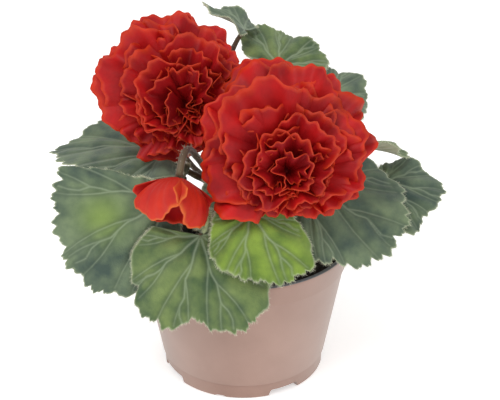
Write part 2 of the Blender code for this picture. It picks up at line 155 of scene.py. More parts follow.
def build_patches():
    """Soft patches that run between two colours."""
    group, given, result = new_group(
        "patches",
        [("Dark", "NodeSocketColor", (0, 0, 0, 1)), ("Light", "NodeSocketColor", (1, 1, 1, 1)),
         ("Scale", "NodeSocketFloat", 60.0), ("Detail", "NodeSocketFloat", 6.0)],
        [("Color", "NodeSocketColor"), ("Mask", "NodeSocketFloat")])
    nodes, links = group.nodes, group.links
    where = nodes.new("ShaderNodeTexCoord")
    noise = nodes.new("ShaderNodeTexNoise")
    spread = nodes.new("ShaderNodeMapRange")
    mix = nodes.new("ShaderNodeMix")
    mix.data_type = "RGBA"
    spread.inputs["From Min"].default_value = 0.32
    spread.inputs["From Max"].default_value = 0.68
    links.new(where.outputs["Object"], noise.inputs["Vector"])
    links.new(given.outputs["Scale"], noise.inputs["Scale"])
    links.new(given.outputs["Detail"], noise.inputs["Detail"])
    links.new(noise.outputs["Fac"], spread.inputs["Value"])
    links.new(spread.outputs["Result"], mix.inputs["Factor"])
    links.new(given.outputs["Dark"], mix.inputs["A"])
    links.new(given.outputs["Light"], mix.inputs["B"])
    links.new(mix.outputs["Result"], result.inputs["Color"])
    links.new(spread.outputs["Result"], result.inputs["Mask"])
    return group


def build_grain():
    """Tiny bumps, with their own mask for uneven gloss."""
    group, given, result = new_group(
        "grain",
        [("Scale", "NodeSocketFloat", 900.0), ("Height", "NodeSocketFloat", 0.3),
         ("Depth", "NodeSocketFloat", 0.0003)],
        [("Normal", "NodeSocketVector"), ("Mask", "NodeSocketFloat")])
    nodes, links = group.nodes, group.links
    where = nodes.new("ShaderNodeTexCoord")
    noise = nodes.new("ShaderNodeTexNoise")
    noise.inputs["Detail"].default_value = 3.0
    bump = nodes.new("ShaderNodeBump")
    links.new(where.outputs["Object"], noise.inputs["Vector"])
    links.new(given.outputs["Scale"], noise.inputs["Scale"])
    links.new(noise.outputs["Fac"], bump.inputs["Height"])
    links.new(given.outputs["Height"], bump.inputs["Strength"])
    links.new(given.outputs["Depth"], bump.inputs["Distance"])
    links.new(bump.outputs["Normal"], result.inputs["Normal"])
    links.new(noise.outputs["Fac"], result.inputs["Mask"])
    return group


PATCHES = build_patches()
GRAIN = build_grain()
print("groups:", PATCHES.name, GRAIN.name)

# %% [markdown]
# ## Materials
# Every material starts from patches and grain. Layers are then mixed over them with masks that the
# meshes carry: veins and pale rims on leaves, orange edges on petals, and painted shade in the leaves' vein
# grooves and at the petal bases. A painted sheen lightens leaves and pot where they turn edge-on. Sheen
# gives the hairy leaves their velvet look, and a faint painted glow, standing in for light through the
# thin petals, keeps them from looking like painted metal.

# %% Material maker
def material(name, dark, light, scale, layers=(), rough=0.6, sheen=0.0, grain=(900.0, 0.3, 0.0003), glow=0.0,
             painted_edge_sheen=None):
    """A finish of patches and grain. layers: mask, tint, amount. painted_edge_sheen: tint and amount of a
    painted sheen, a pale colour mixed in where the surface is seen edge-on.
    """
    mat = bpy.data.materials.new(name)
    mat.use_nodes = True
    nodes, links = mat.node_tree.nodes, mat.node_tree.links
    shader = nodes["Principled BSDF"]
    patches = nodes.new("ShaderNodeGroup")
    patches.node_tree = PATCHES
    patches.inputs["Dark"].default_value = dark
    patches.inputs["Light"].default_value = light
    patches.inputs["Scale"].default_value = scale
    bumps = nodes.new("ShaderNodeGroup")
    bumps.node_tree = GRAIN
    for key, value in zip(("Scale", "Height", "Depth"), grain):
        bumps.inputs[key].default_value = value
    colour = patches.outputs["Color"]
    for mask, tint, amount in layers:
        source = nodes.new("ShaderNodeAttribute")
        source.attribute_name = mask
        strength = nodes.new("ShaderNodeMath")
        strength.operation = "MULTIPLY"
        strength.use_clamp = True
        strength.inputs[1].default_value = amount
        mix = nodes.new("ShaderNodeMix")
        mix.data_type = "RGBA"
        mix.inputs["B"].default_value = tint
        links.new(source.outputs["Fac"], strength.inputs[0])
        links.new(strength.outputs["Value"], mix.inputs["Factor"])
        links.new(colour, mix.inputs["A"])
        colour = mix.outputs["Result"]
    # Painted sheen: a pale tint mixed into the base colour where the surface turns edge-on, in place of the
    # sheen that light gives it.
    if painted_edge_sheen:
        facing = nodes.new("ShaderNodeLayerWeight")
        facing.inputs["Blend"].default_value = 0.35
        strength = nodes.new("ShaderNodeMath")
        strength.operation = "MULTIPLY"
        strength.inputs[1].default_value = painted_edge_sheen[1]
        mix = nodes.new("ShaderNodeMix")
        mix.data_type = "RGBA"
        mix.inputs["B"].default_value = painted_edge_sheen[0]
        links.new(facing.outputs["Facing"], strength.inputs[0])
        links.new(strength.outputs["Value"], mix.inputs["Factor"])
        links.new(colour, mix.inputs["A"])
        colour = mix.outputs["Result"]
    roughness = nodes.new("ShaderNodeMapRange")
    roughness.inputs["To Min"].default_value = max(rough - 0.08, 0.05)
    roughness.inputs["To Max"].default_value = min(rough + 0.08, 1.0)
    links.new(bumps.outputs["Mask"], roughness.inputs["Value"])
    links.new(colour, shader.inputs["Base Color"])
    links.new(roughness.outputs["Result"], shader.inputs["Roughness"])
    links.new(bumps.outputs["Normal"], shader.inputs["Normal"])
    shader.inputs["Sheen Weight"].default_value = sheen
    shader.inputs["Sheen Roughness"].default_value = 0.5
    shader.inputs["Specular IOR Level"].default_value = 0.3
    if glow:
        links.new(colour, shader.inputs["Emission Color"])
        shader.inputs["Emission Strength"].default_value = glow
    return mat


PALE = srgb(206, 214, 176)
LEAF_TONES = {
    "grey": (srgb(52, 70, 62), srgb(104, 120, 90)),
    "green": (srgb(54, 78, 46), srgb(110, 128, 72)),
    "bright": (srgb(74, 100, 36), srgb(122, 148, 52)),
}
leaf_material = {}
for tone, (dark, light) in LEAF_TONES.items():
    leaf_material[tone] = material(
        f"leaf_{tone}", dark, light, 85.0,
        # Leaf layers: yellow-green patches, painted shade in the grooves beside the veins, pale veins and
        # the pale hairy rim.
        [("patch", srgb(132, 158, 56), 0.6), ("hollow", srgb(44, 60, 46), 0.5),
         ("vein", srgb(142, 156, 130), 0.6), ("rim", PALE, 0.42)],
        # The leaves get a pale painted sheen where they turn edge-on.
        rough=0.66, sheen=0.1, grain=(1300.0, 0.6, 0.0005), painted_edge_sheen=(srgb(150, 160, 140), 0.3))
leaf_under = material("leaf_under", srgb(128, 134, 104), srgb(168, 166, 140), 70.0,
                      [("vein", srgb(176, 150, 128), 0.6)], rough=0.7, sheen=0.3)
# The root layer is painted shade: petals darken towards their bases and in the crowded middle of the flower.
petal_front = material(
    "petal_front", srgb(142, 2, 8), srgb(186, 6, 6), 70.0,
    [("root", srgb(96, 2, 12), 0.8), ("edge", srgb(214, 70, 10), 0.42)],
    # A faint painted glow stands in for light shining through the thin petals.
    rough=0.6, grain=(700.0, 0.35, 0.0003), glow=0.02)
petal_back = material(
    "petal_back", srgb(166, 12, 8), srgb(196, 40, 10), 60.0,
    [("root", srgb(150, 22, 16), 0.7), ("edge", srgb(226, 130, 50), 0.5)],
    # The petal backs get the same faint painted glow.
    rough=0.6, grain=(700.0, 0.35, 0.0003), glow=0.02)
stalk_material = material("stalk", srgb(66, 42, 36), srgb(92, 78, 54), 90.0, rough=0.5, sheen=0.2)
hair_material = material("hair", srgb(206, 208, 172), srgb(232, 232, 204), 300.0, rough=0.6, sheen=0.3)
young_material = material("young", srgb(84, 92, 56), srgb(142, 158, 96), 160.0,
                          [("vein", srgb(190, 200, 150), 0.7)], rough=0.6, sheen=0.3)
# The pot's outside gets a strong pale painted sheen where it turns edge-on, standing in for reflection.
pot_outer = material("pot_outer", srgb(140, 106, 92), srgb(158, 124, 110), 26.0, rough=0.5,
                     grain=(1600.0, 0.25, 0.0002), painted_edge_sheen=(srgb(186, 174, 168), 0.8))
pot_inner = material("pot_inner", srgb(96, 98, 102), srgb(122, 124, 128), 40.0, rough=0.6,
                     grain=(1600.0, 0.3, 0.0002))
soil_material = material("soil", srgb(26, 22, 22), srgb(66, 56, 50), 420.0, rough=0.95,
                         grain=(2600.0, 1.0, 0.0012))
print("materials:", len(bpy.data.materials))

# %% [markdown]
# ## Leaves
# A leaf blade is a fan round the point where its stalk joins. Main veins run from that point to the
# margin and fork on the way. The blade sinks along the veins and swells between them, which gives the
# quilted look, and painted shade darkens the grooves beside the veins. The margin has coarse uneven
# teeth with a fringe of short pale hairs.

# %% Leaf table
# joint: where the stalk meets the blade. tip: where the middle vein ends. faces: the way the upper side
# looks. reach: (degrees round the joint, length of the blade that way). droop and arch: degrees of bend
# along and across the blade. fold: slope up from the middle vein. wave: height of the waves at the margin.
LEAVES = {
    "leaf_front_left": dict(
        joint=(-38.9, -40, 120), tip=(-84.5, -45, 93.5), faces=(-0.12, -0.93, 0.36),
        reach=((-90, 9), (-62, 20), (-53, 38), (-46, 57), (-26, 59), (0, 60), (28, 59), (44, 51),
               (58, 30), (75, 22), (100, 12)),
        droop=10, arch=12, fold=0.03, wave=1.2, tone="grey", patch=0.9),
    "leaf_left": dict(
        joint=(-39, 3, 129.3), tip=(-101.3, 12, 122), faces=(-0.12, -0.14, 0.98),
        reach=((-120, 12), (-80, 22), (-45, 38), (-20, 50), (0, 65), (20, 56), (45, 46), (80, 36),
               (120, 20)), droop=12, arch=6, fold=0.04, wave=2.0, tone="grey"),
    "leaf_left_inner": dict(
        joint=(-31, -13, 119), tip=(-62, -11, 114.5), faces=(-0.10, -0.30, 0.95),
        reach=((-110, 8), (-60, 14), (-25, 22), (0, 33), (25, 26), (60, 16), (110, 9)),
        droop=14, arch=6, fold=0.08, wave=1.0, tone="grey"),
    "leaf_front": dict(
        joint=(-21, -55, 106.6), tip=(-21.7, -70.7, 66.0), faces=(-0.05, -0.93, 0.36),
        reach=((-100, 24), (-70, 38), (-40, 49), (-20, 49), (0, 43), (14, 53), (35, 51), (55, 42),
               (80, 30), (105, 18)), droop=12, arch=20, fold=-0.04, wave=1.4, tone="green"),
    "leaf_front_small": dict(
        joint=(3.8, -52, 117), tip=(4.7, -70.4, 89.9), faces=(0.10, -0.82, 0.56),
        reach=((-100, 15), (-75, 19), (-48, 27), (-20, 33), (0, 33), (15, 37), (45, 39), (62, 33),
               (95, 16), (125, 9)), droop=24, arch=20, fold=0.08, wave=1.5, tone="bright", patch=0.6),
    "leaf_front_right": dict(
        joint=(29.7, -24, 121.4), tip=(68.7, -47.5, 83.6), faces=(0.15, -0.75, 0.62),
        reach=((-105, 12), (-80, 20), (-56, 37), (-30, 43), (0, 57), (20, 58), (46, 56), (70, 42),
               (100, 20)), droop=18, arch=26, fold=0.04, wave=1.8, tone="grey"),
    "leaf_right": dict(
        joint=(78, 12, 104), tip=(112, 12, 97), faces=(0.12, -0.50, 0.86),
        reach=((-120, 12), (-80, 26), (-58, 35), (-30, 30), (0, 34), (25, 28), (60, 22), (110, 10)),
        droop=26, arch=26, fold=0.06, wave=2.0, tone="grey"),
    "leaf_right_back": dict(
        joint=(50, 14, 124), tip=(88, 18, 111), faces=(0.10, 0.30, 0.95),
        reach=((-115, 10), (-70, 22), (-30, 32), (0, 41), (30, 34), (70, 26), (115, 10)),
        droop=20, arch=-14, fold=0.12, wave=2.0, tone="green"),
    "leaf_top_right": dict(
        joint=(44, 28, 147), tip=(72, 43, 147), faces=(0.30, -0.50, 0.81),
        reach=((-120, 10), (-70, 20), (-27, 25), (0, 29), (20, 32), (40, 28), (64, 26), (110, 24)),
        droop=24, arch=20, fold=0.06, wave=1.6, tone="grey"),
    "leaf_top": dict(
        joint=(19.3, 40, 162.4), tip=(42.1, 54.7, 168.6), faces=(0.05, -0.45, 0.89),
        reach=((-115, 10), (-70, 18), (-35, 26), (-15, 30), (0, 29), (21, 27), (60, 29), (85, 38),
               (110, 24), (135, 10)), droop=20, arch=16, fold=0.06, wave=1.6, tone="green"),
    "leaf_top_left": dict(
        joint=(1, 55, 179), tip=(-21, 64, 192), faces=(0.46, 0.04, 0.88),
        reach=((-115, 9), (-60, 17), (-25, 25), (0, 28), (25, 24), (60, 17), (115, 8)),
        droop=26, arch=-18, fold=0.10, wave=1.8, tone="grey"),
    "leaf_under_flower": dict(
        joint=(-1, -20, 120.5), tip=(-18, -35, 113.5), faces=(-0.10, -0.50, 0.86),
        reach=((-115, 9), (-60, 17), (-20, 23), (0, 25), (30, 26), (60, 22), (110, 12)),
        droop=16, arch=10, fold=0.10, wave=1.0, tone="grey"),
    "leaf_back_left": dict(
        joint=(-36, 38, 118), tip=(-70, 68, 98), faces=(-0.35, 0.45, 0.82),
        reach=((-130, 16), (-90, 30), (-50, 38), (0, 47), (50, 38), (90, 32), (130, 18)),
        droop=24, arch=20, fold=0.06, wave=2.0, tone="green"),
    "leaf_back_right": dict(
        joint=(22, 52, 118), tip=(34, 92, 97), faces=(0.15, 0.55, 0.82),
        reach=((-130, 18), (-90, 32), (-50, 42), (0, 48), (50, 40), (90, 30), (130, 16)),
        droop=24, arch=22, fold=0.06, wave=2.0, tone="grey"),
}
print("leaf table:", ", ".join(LEAVES))


# %% Veins and blades
BLADE_THICKNESS = 0.55
FRINGE_HAIR, FRINGE_WIDTH = 1.5, 0.07
THIRD_TURN = 2.0944


def outline(spec, angle):
    """Length (mm) of a blade at polar angles (degrees)."""
    angles, lengths = zip(*spec["reach"])
    return np.interp(angle, angles, lengths)


def vein_lines(spec, seed):
    """Start, end and width (mm) of each short piece of vein, on the flat blade."""
    local = np.random.default_rng(seed)
    low, high = spec["reach"][0][0] + 12.0, spec["reach"][-1][0] - 12.0
    pieces = []
    for angle in np.linspace(low, high, max(5, int((high - low) / 29))):
        angle = angle + local.uniform(-4, 4)
        far = outline(spec, angle)
        sway = local.uniform(-0.10, 0.10)
        last = np.zeros(2)
        for k in range(1, 11):
            t = k / 10
            a = math.radians(angle) + sway * t * t + 0.03 * math.sin(k * 1.9 + angle)
            here = np.array([math.cos(a), math.sin(a)]) * far * t * 0.97
            pieces.append((last, here, 1.0 - 0.6 * t))
            if k in (3, 5, 7) and far > 16:
                side = 1 if (k // 2 + len(pieces)) % 2 else -1
                point, turn = here, a + side * local.uniform(0.36, 0.55)
                for step in range(4):
                    turn = turn - side * local.uniform(0.02, 0.14)
                    ahead = point + np.array([math.cos(turn), math.sin(turn)]) * far * (1.0 - t) * 0.27
                    pieces.append((point, ahead, 0.5 - 0.1 * step))
                    point = ahead
            last = here
    return pieces


def vein_distance(x, y, pieces):
    """Distance (mm) to the nearest vein and to the nearest vein allowing for its width."""
    best = np.full(x.shape, 99.0)
    mark = np.zeros(x.shape)
    for start, end, width in pieces:
        d = end - start
        t = np.clip(((x - start[0]) * d[0] + (y - start[1]) * d[1]) / max(d @ d, 1e-6), 0, 1)
        gap = np.hypot(x - start[0] - d[0] * t, y - start[1] - d[1] * t)
        best = np.minimum(best, gap)
        mark = np.maximum(mark, width ** 0.5 * np.exp(-(gap / (0.3 + 0.45 * width)) ** 2))
    return best, mark


def leaf_sheet(spec, angle, part, toothed, seed):
    """Local points (mm) and masks of a blade at polar angles (degrees) and parts of the reach."""
    length = outline(spec, 0.0)
    reach = outline(spec, angle)
    if toothed:
        arc = np.radians(angle) * np.maximum(reach, 24.0)
        coarse = 3.0 * np.abs(np.sin(arc / 5.6 + seed)) ** 0.8
        middling = 1.9 * np.abs(np.sin(arc / 1.9 + seed * 2)) ** 1.3
        fine = 1.0 * np.abs(np.sin(arc / 0.95 + 2 * np.sin(arc / 4.0)))
        lobes = 1.2 * np.sin(arc / 11 + seed)
        teeth = coarse + middling + fine + lobes
        reach = reach + (teeth - 3.4) * np.clip(reach / 42, 0.3, 1.25)
    r = reach * part
    x = r * np.cos(np.radians(angle))
    y = r * np.sin(np.radians(angle))
    z = spec["fold"] * (np.sqrt(y * y + 9.0) - 3.0)
    z = z + spec["wave"] * part ** 3 * np.sin(np.radians(angle) * 6.0 + spec["joint"][0])
    masks = {}
    if toothed:
        gap, mark = vein_distance(x, y, vein_lines(spec, seed))
        z = z + 1.5 * (1 - np.exp(-(gap / 2.4) ** 2)) * np.clip(part * 3, 0, 1) * (1 - 0.5 * part ** 4) - 0.5
        z = z + 0.8 * part ** 6 * np.sin(np.radians(angle) * reach / 4.1)
        masks["vein"] = mark
        masks["rim"] = np.clip((r - reach + 1.0) / 0.9, 0, 1)
        # Painted shade: the grooves beside the veins, where the blade sinks, get a darker colour.
        masks["hollow"] = np.clip(1 - gap / 2.2, 0, 1) * (1 - mark)
        from_patch = (x - length * 0.55) ** 2 + (y + length * 0.12) ** 2
        masks["patch"] = spec.get("patch", 0.0) * np.exp(-from_patch / (length * 0.2) ** 2)
    y, z = bend(y, z, spec["arch"], length)
    x, z = bend(x, z, spec["droop"], length)
    return np.stack([x, y, z], -1), masks


def leaf_axes(spec):
    """Axes that bring the tip of the bent blade onto the line from its joint to its tip."""
    axes = frame_of(spec["faces"], np.subtract(spec["tip"], spec["joint"]))
    end = leaf_sheet(spec, np.array([0.0]), np.array([1.0]), False, 0)[0][0]
    a = math.atan2(end[2], end[0])
    return np.array([axes[0] * math.cos(a) - axes[2] * math.sin(a), axes[1],
                     axes[0] * math.sin(a) + axes[2] * math.cos(a)])


def hairs(roots, ways, length, width):
    """Thin three-sided spikes from roots along ways."""
    points, faces = [], []
    for root, way in zip(roots, ways):
        way = unit(way)
        side = unit(np.cross(way, (0.31, 0.52, 0.8)))
        other = np.cross(way, side)
        n = len(points)
        size = length * rng.uniform(0.5, 1.2)
        for k in range(3):
            a = k * THIRD_TURN
            points.append(root + (side * math.cos(a) + other * math.sin(a)) * width)
        points.append(root + way * size)
        faces += [(n, n + 1, n + 3), (n + 1, n + 2, n + 3), (n + 2, n, n + 3), (n + 2, n + 1, n)]
    return points, faces


for number, (name, spec) in enumerate(LEAVES.items()):
    size = max(p[1] for p in spec["reach"])
    rays = int(90 + size * 4.4)
    rings = int(10 + size * 0.62)
    angle, part = np.meshgrid(np.linspace(spec["reach"][0][0], spec["reach"][-1][0], rays),
                              np.linspace(0, 1, rings + 1)[1:] ** 0.85)
    angle = np.concatenate([[0.0], angle.ravel()])
    part = np.concatenate([[0.0], part.ravel()])
    local, masks = leaf_sheet(spec, angle, part, True, number + 1)
    axes = leaf_axes(spec)
    points = np.array(spec["joint"], float) + local @ axes
    sides = [leaf_material[spec["tone"]], leaf_under]
    blade = make_mesh(f"{name}_blade", points, fan_faces(rays, rings), sides, masks, name, "leaf")
    thicken(blade, BLADE_THICKNESS)
    edge = points[-rays:]
    inner = points[-2 * rays:-rays]
    pick = np.repeat(np.arange(rays), 3)
    shift = rng.uniform(-0.6, 0.6, (len(pick), 3))
    ways = edge[pick] - inner[pick]
    ways = ways / np.linalg.norm(ways, axis=1)[:, None] + shift
    spikes = hairs(edge[pick] + shift * 0.5, ways, FRINGE_HAIR, FRINGE_WIDTH)
    make_mesh(f"{name}_fringe", *spikes, [hair_material], slot="leaf")
print("leaves:", len(LEAVES), "blades, each with a fringe")

# %% [markdown]
# ## Stalks and stems
# Each stalk leaves its stem sideways, rises in one smooth curve and meets the blade from behind.
# Leaf stalks taper towards the blade. Begonia stalks are covered in long pale hairs, so every tube
# gets a coat of thin spikes standing out from its side.

# %% Stems, stalks and their hairs
# Points up the middle of each stem, then its radius at the bottom and at the top.
STEMS = {
    "stem_left": (((-6, 4, 55), (-9, 3, 84), (-13, 2, 104), (-16, 3, 122)), 5.0, 3.6),
    "stem_right": (((16, 12, 55), (18, 13, 84), (21, 14, 108), (24, 16, 128)), 4.4, 3.2),
}
TUBE_SIDES = 14
STALK_HAIR_WIDTH = 0.06
LEAF_STALK = (2.0, 1.3)
# The stem that each leaf grows from, and the height (mm) at which its stalk leaves it.
STALK_FROM = {
    "leaf_front_left": ("stem_left", 96),
    "leaf_left": ("stem_left", 110),
    "leaf_left_inner": ("stem_left", 101),
    "leaf_front": ("stem_left", 87),
    "leaf_front_small": ("stem_left", 97),
    "leaf_front_right": ("stem_right", 104),
    "leaf_right": ("stem_right", 96),
    "leaf_right_back": ("stem_right", 114),
    "leaf_top_right": ("stem_right", 121),
    "leaf_top": ("stem_right", 118),
    "leaf_top_left": ("stem_left", 114),
    "leaf_under_flower": ("stem_left", 114),
    "leaf_back_left": ("stem_left", 102),
    "leaf_back_right": ("stem_right", 100),
}


def on_stem(stem, height):
    """Middle and radius (mm) of a stem at a height."""
    points, first, last = STEMS[stem]
    z = [p[2] for p in points]
    middle = np.array([np.interp(height, z, [p[i] for p in points]) for i in range(3)])
    return middle, first + (last - first) * np.interp(height, z, np.linspace(0, 1, len(z)))


def stalk_path(stem, height, end, normal, clearance, sag=0.35):
    """A smooth curve from the side of a stem to a little behind a blade or flower."""
    middle, radius = on_stem(stem, height)
    normal = unit(normal)
    out = unit(np.array([end[0] - middle[0], end[1] - middle[1], 0.0]))
    start = middle + out * (radius + 0.3)
    stop = np.asarray(end, float) - normal * clearance
    first = start + out * 2.0
    last = stop - normal * 2.0
    span = np.linalg.norm(last - first) * sag
    a = first + unit(out + np.array([0, 0, 0.5])) * span
    b = last - normal * span
    t = np.linspace(0, 1, 18)[:, None]
    curve = (1 - t) ** 3 * first + 3 * (1 - t) ** 2 * t * a + 3 * (1 - t) * t * t * b + t ** 3 * last
    return np.concatenate([[start], curve, [stop]])


def tube(name, path, radii, mat, node, slot, hair=2.2, density=2.2):
    """A closed tapering tube along a path (mm) with hairs on its side."""
    path = np.asarray(path, float)
    steps = len(path)
    ways = np.gradient(path, axis=0)
    ways /= np.linalg.norm(ways, axis=1)[:, None]
    side = unit(np.cross(ways[0], (0.2, 0.9, 0.37)))
    points, normals = [], []
    for k in range(steps):
        side = unit(side - ways[k] * (side @ ways[k]))
        up = np.cross(ways[k], side)
        radius = np.interp(k, (0, steps - 1), radii) * (1 + 0.05 * math.sin(k * 1.7))
        for j in range(TUBE_SIDES):
            a = j * math.tau / TUBE_SIDES
            out = side * math.cos(a) + up * math.sin(a)
            normals.append(out)
            points.append(path[k] + out * radius)
    make_mesh(name, points, tube_faces(TUBE_SIDES, steps), [mat], node=node, slot=slot)
    length = np.linalg.norm(np.diff(path, axis=0), axis=1).sum()
    count = int(length * density)
    if count:
        pick = rng.integers(TUBE_SIDES, len(points) - TUBE_SIDES, count)
        outward = np.array(normals)[pick]
        roots = np.array(points)[pick] + ways[pick // TUBE_SIDES] * rng.uniform(-1, 1, (count, 1))
        out = outward + rng.uniform(-0.35, 0.35, (count, 3))
        spikes = hairs(roots - outward * 0.1, out, hair, STALK_HAIR_WIDTH)
        make_mesh(f"{name}_hair", *spikes, [hair_material], slot=slot)


for name, (points, first, last) in STEMS.items():
    heights = np.linspace(0, 3, 16)
    path = np.stack([np.interp(heights, range(4), [p[i] for p in points]) for i in range(3)], -1)
    tube(f"{name}_body", path, (first, last), stalk_material, name, "stem")
for name, (stem, height) in STALK_FROM.items():
    spec = LEAVES[name]
    path = stalk_path(stem, height, spec["joint"], leaf_axes(spec)[2], 0.4)
    node = name.replace("leaf", "stalk", 1)
    tube(f"{node}_body", path, LEAF_STALK, stalk_material, node, "stalk")
print("stems:", len(STEMS), "stalks:", len(STALK_FROM))

# %% [markdown]
# ## Flowers
# Eight outer petals lie back in two rings of four. The rest are a loose spiral in which each new petal
# turns about 137.5 degrees from the last, and the young ones in the middle stand upright. A petal is
# the same fan as a leaf, with its corner at the claw and a ruffle that grows towards its edge. Painted
# shade darkens each petal towards its claw and darkens the young petals in the middle of the flower.

# %% Petals
GOLDEN_TURN = 137.5
OUTER_PETALS, INNER_PETALS = 8, 46
OUTER_FAN, INNER_FAN = (64, 26), (38, 18)
PETAL_THICKNESS, FURLED_THICKNESS = 0.4, 0.35
FLOWER_STALK = (1.9, 2.6)
# reach: length (mm) of the four petals of a ring. low: how far the spiral's middle is off the flower's.
# wide: how much further the spiral spreads to one side, and how far it spreads all round.
FLOWERS = {
    "flower_right": dict(
        centre=(25, -36, 150.5), faces=(0.04, -0.90, 0.44), reach=(38, 46, 37, 34), turn=40,
        stem="stem_right", height=126, seed=3, low=(-3, -16), wide=(9, 31)),
    "flower_left": dict(
        centre=(-36, -1, 167.5), faces=(-0.12, -0.86, 0.50), reach=(37, 37, 34, 36), turn=52,
        stem="stem_left", height=121, seed=8, low=(7, -12), wide=(3, 31)),
}


def petal_sheet(length, half, lean, curl, cup, ruffle, waves, phase, start, height, rays=34, rings=15):
    """One petal in the flower's axes: x runs out from the axis in the petal's middle, z to the front."""
    angle, part = np.meshgrid(np.linspace(-half, half, rays), np.linspace(0, 1, rings + 1)[1:])
    angle = np.concatenate([[0.0], angle.ravel()])
    part = np.concatenate([[0.0], part.ravel()])
    side = angle / half
    far = length * (1 - 0.24 * np.abs(side) ** 3 + 0.035 * np.sin(side * 9 + phase))
    far = far * (1 + 0.018 * np.sin(side * 27 + phase * 3))
    r = far * part
    x = r * np.cos(np.radians(angle))
    y = r * np.sin(np.radians(angle))
    z = ruffle * part ** 2.2 * (np.sin(side * waves + phase) + 0.45 * np.sin(side * waves * 2.3 + phase * 2))
    z = z + 0.25 * part * np.sin(side * 22 + phase)
    y, z = bend(y, z, cup, length)
    x, z = bend(x, z, curl, length)
    a = math.radians(lean)
    out = start + x * math.sin(a) - z * math.cos(a)
    forward = height + x * math.cos(a) + z * math.sin(a)
    points = np.stack([out, y, forward], -1)
    band = 0.03 + 0.08 * np.clip(np.sin(side * 2.6 + phase * 1.7), 0, 1) ** 2
    # root is painted shade, darkest at the claw and gone two thirds of the way out.
    masks = {"edge": np.clip((part - 1 + band) / band, 0, 1) + 0.5 * np.abs(side) ** 12 * part,
             "root": np.clip(1 - part * 1.5, 0, 1)}
    return points, masks


def turned(points, degrees):
    """Points turned round the flower's axis."""
    a = math.radians(degrees)
    x = points[:, 0] * math.cos(a) - points[:, 1] * math.sin(a)
    y = points[:, 0] * math.sin(a) + points[:, 1] * math.cos(a)
    return np.stack([x, y, points[:, 2]], -1)


def outer_petals(name, spec, axes, centre, local):
    """The petals that lie back, one piece each."""
    for k in range(OUTER_PETALS):
        whorl, i = divmod(k, 4)
        sheet, masks = petal_sheet(
            spec["reach"][i] * 0.96, 45, 86 - 6 * whorl + local.uniform(-4, 4), 14 + 10 * (1 - whorl), -8,
            2.8, local.uniform(4, 8), local.uniform(0, 6), 1.5, -3.0 + 1.8 * whorl, *OUTER_FAN)
        points = centre + turned(sheet, spec["turn"] + 45 * whorl + 90 * i) @ axes
        petal = make_mesh(f"{name}_outer_{k + 1}", points, fan_faces(*OUTER_FAN), [petal_front, petal_back],
                          masks, f"{name}_petal_{k + 1}", "petal")
        thicken(petal, PETAL_THICKNESS)


def inner_petals(name, spec, axes, centre, local):
    """The loose spiral of ruffled petals in the middle, as one piece."""
    sheets, edges, roots = [], [], []
    for i in range(INNER_PETALS):
        t = (i + 0.5) / INNER_PETALS
        turn = i * GOLDEN_TURN + spec["turn"] + local.uniform(-22, 22)
        way = np.array([math.cos(math.radians(turn)), math.sin(math.radians(turn))])
        shift = np.array(spec["low"]) * (1 - 0.25 * t)
        room = spec["wide"][1] + spec["wide"][0] * max(-way[0], 0.0) - way @ shift
        length = (8 + room * (0.42 + 0.52 * t)) * local.uniform(0.85, 1.08)
        sheet, mask = petal_sheet(
            length, 38 + 9 * t, 8 + 66 * t ** 0.8 + local.uniform(-9, 9), 16 + 18 * t, -50 + 35 * t,
            3.0 + 2.2 * t, local.uniform(3.4, 8.5), local.uniform(0, 6), 0.6 + 2.0 * t, -1.0 - 0.6 * t,
            *INNER_FAN)
        sheet = turned(sheet, turn)
        sheet[:, :2] += shift
        sheets.append(sheet)
        edges.append(mask["edge"])
        # The young petals in the middle get extra painted shade.
        roots.append(np.maximum(mask["root"], 0.55 * (1 - t)))
    points, faces = join_fans(sheets, *INNER_FAN)
    masks = {"edge": np.concatenate(edges), "root": np.concatenate(roots)}
    heart = make_mesh(f"{name}_inner", centre + points @ axes, faces, [petal_front, petal_back], masks,
                      f"{name}_heart", "petal")
    thicken(heart, FURLED_THICKNESS)


def build_flower(name, spec):
    """A double flower: outer petals, the spiral in the middle, and its stalk."""
    local = np.random.default_rng(spec["seed"])
    axes = frame_of(spec["faces"], (1, 0, 0))
    centre = np.array(spec["centre"], float)
    outer_petals(name, spec, axes, centre, local)
    inner_petals(name, spec, axes, centre, local)
    path = stalk_path(spec["stem"], spec["height"], centre + axes[2] * -4.6, axes[2], 0.0, 0.3)
    tube(f"{name}_neck", path, FLOWER_STALK, stalk_material, f"{name}_stalk", "stalk")


for name, spec in FLOWERS.items():
    build_flower(name, spec)
print("double flowers:", len(FLOWERS), "of", OUTER_PETALS + INNER_PETALS, "petals")

# %% [markdown]
# ## The nodding flower and the young leaf
# A half-open flower is a few broad petals closed like a cup round a furled middle. The young leaf is
# still rolled up, so it shows as a pleated spindle with very dense hair.

